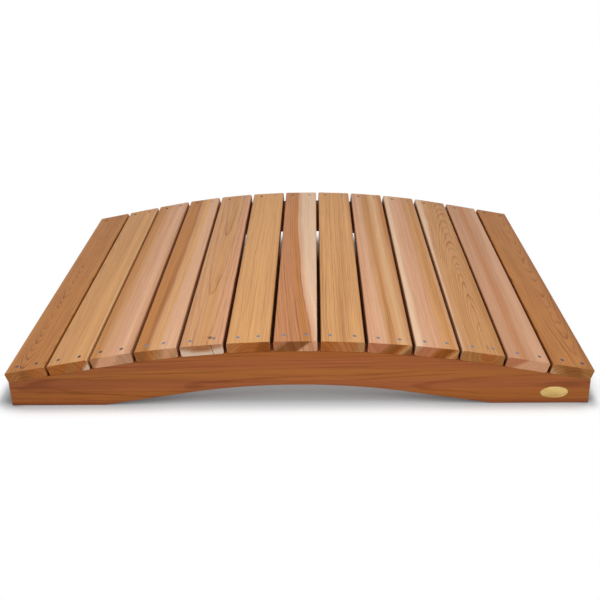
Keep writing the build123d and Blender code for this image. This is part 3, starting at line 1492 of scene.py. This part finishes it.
def deck_boards() -> tuple[Board, ...]:
    """Describes the thirteen boards, each with its cut, its tones and its near screws.

    Returns:
        The boards from left to right.
    """
    return (
        Board(1, CedarFinish(
            banded(Tone.AMBER, 0.0, Tone.BROWN, 0.22, 0.75, Tone.AMBER, 1.0),
            EndGrain(banded(Tone.BROWN, 0.0, 0.25, Tone.UMBER, 0.45, Tone.SPICE, 0.7, Tone.GINGER, 1.0)),
            pith_across=-5.0, pith_depth=22.0, taper=24.0, ring_width=2.0, ring_depth=1.0, late_share=0.2,
            wander=2.5, crevice=0.55), ((-22.0, 19.0), (22.0, 19.0)), Metal.ZINC_DARK),
        Board(2, CedarFinish(
            banded(Tone.OCHRE, 0.0, 0.5, Tone.HONEY, 0.7, Tone.OCHRE, 0.93, Tone.STRAW, 1.0),
            EndGrain(banded(Tone.SPICE, 0.0, Tone.CHESTNUT, 0.35, Tone.BROWN, 0.6, Tone.SPICE, 0.88,
                            Tone.ROSE, 0.93, Tone.IVORY, 1.0), lean=1.0),
            pith_across=-40.0, pith_depth=50.0, taper=-10.0, ring_depth=0.35, crevice=0.45),
            ((-23.0, 18.0), (24.0, 17.0)), Metal.ZINC_DARK),
        Board(3, CedarFinish(
            banded(Tone.BROWN, 0.0, Tone.AMBER, 0.2, Tone.TAN, 0.36, Tone.ROSE, 0.55, Tone.BLUSH, 0.8,
                   Tone.MAUVE, 1.0),
            EndGrain(banded(Tone.RUSSET, 0.0, 0.08, Tone.PEACH, 0.22, 0.5, Tone.ROSE, 0.7, 1.0),
                     lean=0.7, ring_depth=0.35),
            lean=-0.05, pith_across=-90.0, pith_depth=50.0, ring_width=3.6, ring_depth=0.18, crevice=0.6),
            ((-25.0, 21.0), (21.0, 20.0)), Metal.ZINC_DARK),
        Board(4, CedarFinish(
            banded(Tone.BROWN, 0.0, 0.25, Tone.UMBER, 0.36, Tone.TAN, 0.46, Tone.HONEY, 0.6,
                   Tone.BLUSH, 0.75, 1.0),
            EndGrain(banded(Tone.UMBER, 0.0, 0.2, Tone.SPICE, 0.35, Tone.OCHRE, 0.55, Tone.PEACH, 0.75,
                            Tone.TAN, 1.0), lean=0.4, ring_depth=0.8),
            lean=-0.06, dip=0.8, crevice=0.7, pith_across=-120.0, ring_width=4.4, ring_depth=0.22),
            ((-22.0, 20.0), (16.0, 21.0))),
        Board(5, CedarFinish(
            banded(Tone.TAN, 0.0, 0.3, Tone.OCHRE, 0.5, Tone.TAN, 0.7, Tone.ROSE, 1.0),
            EndGrain(banded(Tone.MAUVE, 0.0, Tone.RUSSET, 0.4, 0.6, Tone.ROSE, 1.0), sap=1.0, check=20.0),
            pith_across=-2.0, pith_depth=24.0, taper=14.0, ring_width=8.0, ring_depth=0.8, late_share=0.12,
            wander=3.0, knots=(Knot(15.6, -356.0, 3.6),)), ((-24.0, 18.0), (24.0, 22.0))),
        Board(6, CedarFinish(
            banded(Tone.OCHRE, 0.0, Tone.HONEY, 0.15, 0.92, Tone.OCHRE, 1.0),
            EndGrain(banded(Tone.AMBER, 0.0, Tone.GINGER, 0.2, Tone.SPICE, 0.35, Tone.CHESTNUT, 0.62,
                            Tone.CLOVE, 0.78, 1.0), lean=0.5),
            pith_across=8.0, ring_depth=0.3), ((-22.0, 20.0), (20.0, 21.0))),
        Board(7, CedarFinish(
            banded(Tone.RUSSET, 0.0, 0.2, Tone.BROWN, 0.46, Tone.RUSSET, 0.51, Tone.BLUSH, 0.56,
                   Tone.CREAM, 0.7, 1.0),
            EndGrain(banded(Tone.SALMON, 0.0, Tone.RUSSET, 0.1, Tone.COCOA, 0.25, 0.64,
                            Tone.PEACH, 0.76, 1.0), lean=1.1),
            lean=0.22, bow=0.12, dip=0.5, pith_across=-150.0, pith_depth=40.0, ring_width=5.5,
            ring_depth=0.75, late_share=0.18), ((-24.0, 22.0), (22.0, 24.0))),
        Board(8, CedarFinish(
            banded(Tone.OCHRE, 0.0, Tone.HONEY, 0.25, Tone.OCHRE, 0.6, Tone.HONEY, 0.85, Tone.OCHRE, 1.0),
            EndGrain(banded(Tone.CHESTNUT, 0.0, 0.2, Tone.GINGER, 0.4, 0.75, Tone.OCHRE, 0.88, 1.0)),
            pith_across=-70.0, pith_depth=50.0, ring_width=3.8, ring_depth=0.55, streak_depth=0.22),
            ((-26.0, 22.0), (24.0, 22.0))),
        Board(9, CedarFinish(
            banded(Tone.ROSE, 0.0, Tone.BLUSH, 0.28, Tone.TAN, 0.36, Tone.AMBER, 0.48, Tone.TAN, 0.58,
                   Tone.STRAW, 0.7, Tone.TAN, 0.82, Tone.BROWN, 1.0),
            EndGrain(banded(Tone.SALMON, 0.0, 0.32, Tone.UMBER, 0.45, Tone.CLOVE, 0.58, 0.66,
                            Tone.CHESTNUT, 0.74, Tone.HONEY, 0.84, Tone.COCOA, 0.97),
                     lean=0.8, ring_depth=0.8),
            lean=0.07, bow=0.03, dip=0.9, pith_across=-110.0, ring_width=4.6, ring_depth=0.2),
            ((-24.0, 19.0), (20.0, 18.0))),
        Board(10, CedarFinish(
            banded(Tone.CREAM, 0.0, 0.1, Tone.BLUSH, 0.18, Tone.ROSE, 0.5, Tone.OCHRE, 0.72,
                   Tone.AMBER, 0.86, Tone.TAN, 0.97),
            EndGrain(banded(Tone.BLUSH, 0.0, Tone.SALMON, 0.12, 0.4, Tone.CHESTNUT, 0.5,
                            Tone.CLOVE, 0.6, 0.76, Tone.GINGER, 0.85, Tone.HONEY, 0.92, Tone.GINGER, 1.0),
                     lean=0.8, ring_depth=0.8),
            dip=1.0, pith_across=120.0, ring_width=5.0, ring_depth=0.15), ((-25.0, 18.0), (21.0, 20.0))),
        Board(11, CedarFinish(
            banded(Tone.CREAM, 0.0, 0.03, Tone.TAN, 0.09, Tone.OCHRE, 0.3, 0.75, Tone.AMBER, 1.0),
            EndGrain(banded(Tone.AMBER, 0.0, 0.35, Tone.CHESTNUT, 0.6, Tone.SPICE, 0.7, Tone.AMBER, 1.0),
                     lean=-0.3),
            lean=-0.09, bow=0.05, pith_across=14.0, pith_depth=34.0, taper=-30.0, ring_depth=1.0,
            late_share=0.18, wander=3.0), ((-22.0, 19.0), (22.0, 22.0))),
        Board(12, CedarFinish(
            banded(Tone.MAUVE, 0.0, 0.22, Tone.RUSSET, 0.42, Tone.MAUVE, 0.62, Tone.BLUSH, 0.85,
                   Tone.ROSE, 1.0),
            EndGrain(banded(Tone.SALMON, 0.0, 0.25, Tone.PEACH, 0.45, 1.0), lean=1.1, ring_depth=0.3),
            lean=-0.05, pith_across=80.0, ring_width=4.6, ring_depth=0.2), ((-22.0, 20.0), (25.0, 19.0))),
        Board(13, CedarFinish(
            banded(Tone.BROWN, 0.0, 0.75, Tone.UMBER, 1.0),
            EndGrain(banded(Tone.STRAW, 0.0, Tone.OCHRE, 0.08, Tone.AMBER, 0.2, Tone.UMBER, 0.42, 0.65,
                            Tone.AMBER, 0.85, 1.0), lean=-0.8),
            lean=-0.02, pith_across=17.0, pith_depth=34.0, taper=20.0, ring_width=3.1, ring_depth=1.0,
            late_share=0.18, wander=7.0, wander_length=230.0), ((-21.0, 19.0), (22.0, 17.0)),
            Metal.ZINC_DARK),
    )


def beam_finish(seed: float) -> CedarFinish:
    """Describes the cedar of the beams, which runs along the span.

    Args:
        seed: What makes one plank differ from the other.

    Returns:
        The finish.
    """
    return CedarFinish(
        banded(Tone.CHESTNUT, 0.0, Tone.CINNAMON, 0.25, Tone.SPICE, 0.42, Tone.CINNAMON, 0.6,
               Tone.CHESTNUT, 0.8, Tone.CINNAMON, 1.0),
        width=150.0, thickness=BEAM_THICKNESS, reach=616.0, pith_across=20.0, pith_depth=70.0,
        taper=14.0, ring_width=6.0, ring_depth=0.5, wander=6.0, wander_length=420.0, streak_depth=0.2,
        fade=(0.83, 0.98, 0.92), seed=seed)


def main() -> None:
    """Builds the studio and the bridge, piece by piece."""
    logging.basicConfig(level=logging.INFO, format="%(name)s: %(message)s")
    studio = Studio()
    studio.camera()
    studio.lights()
    studio.floor()

    boards = deck_boards()
    outline = BeamOutline(len(boards))
    front = Beam("beam_front", "front_beam", -1.0, beam_finish(21.0), outline)
    front_piece = front.build()
    Beam("beam_back", "back_beam", 1.0, beam_finish(22.0), outline).build()
    OvalPlate().build(front, front_piece, Metal.SATIN_BRASS.material())
    Deck(outline, boards).build()


if __name__ == "__main__":
    main()
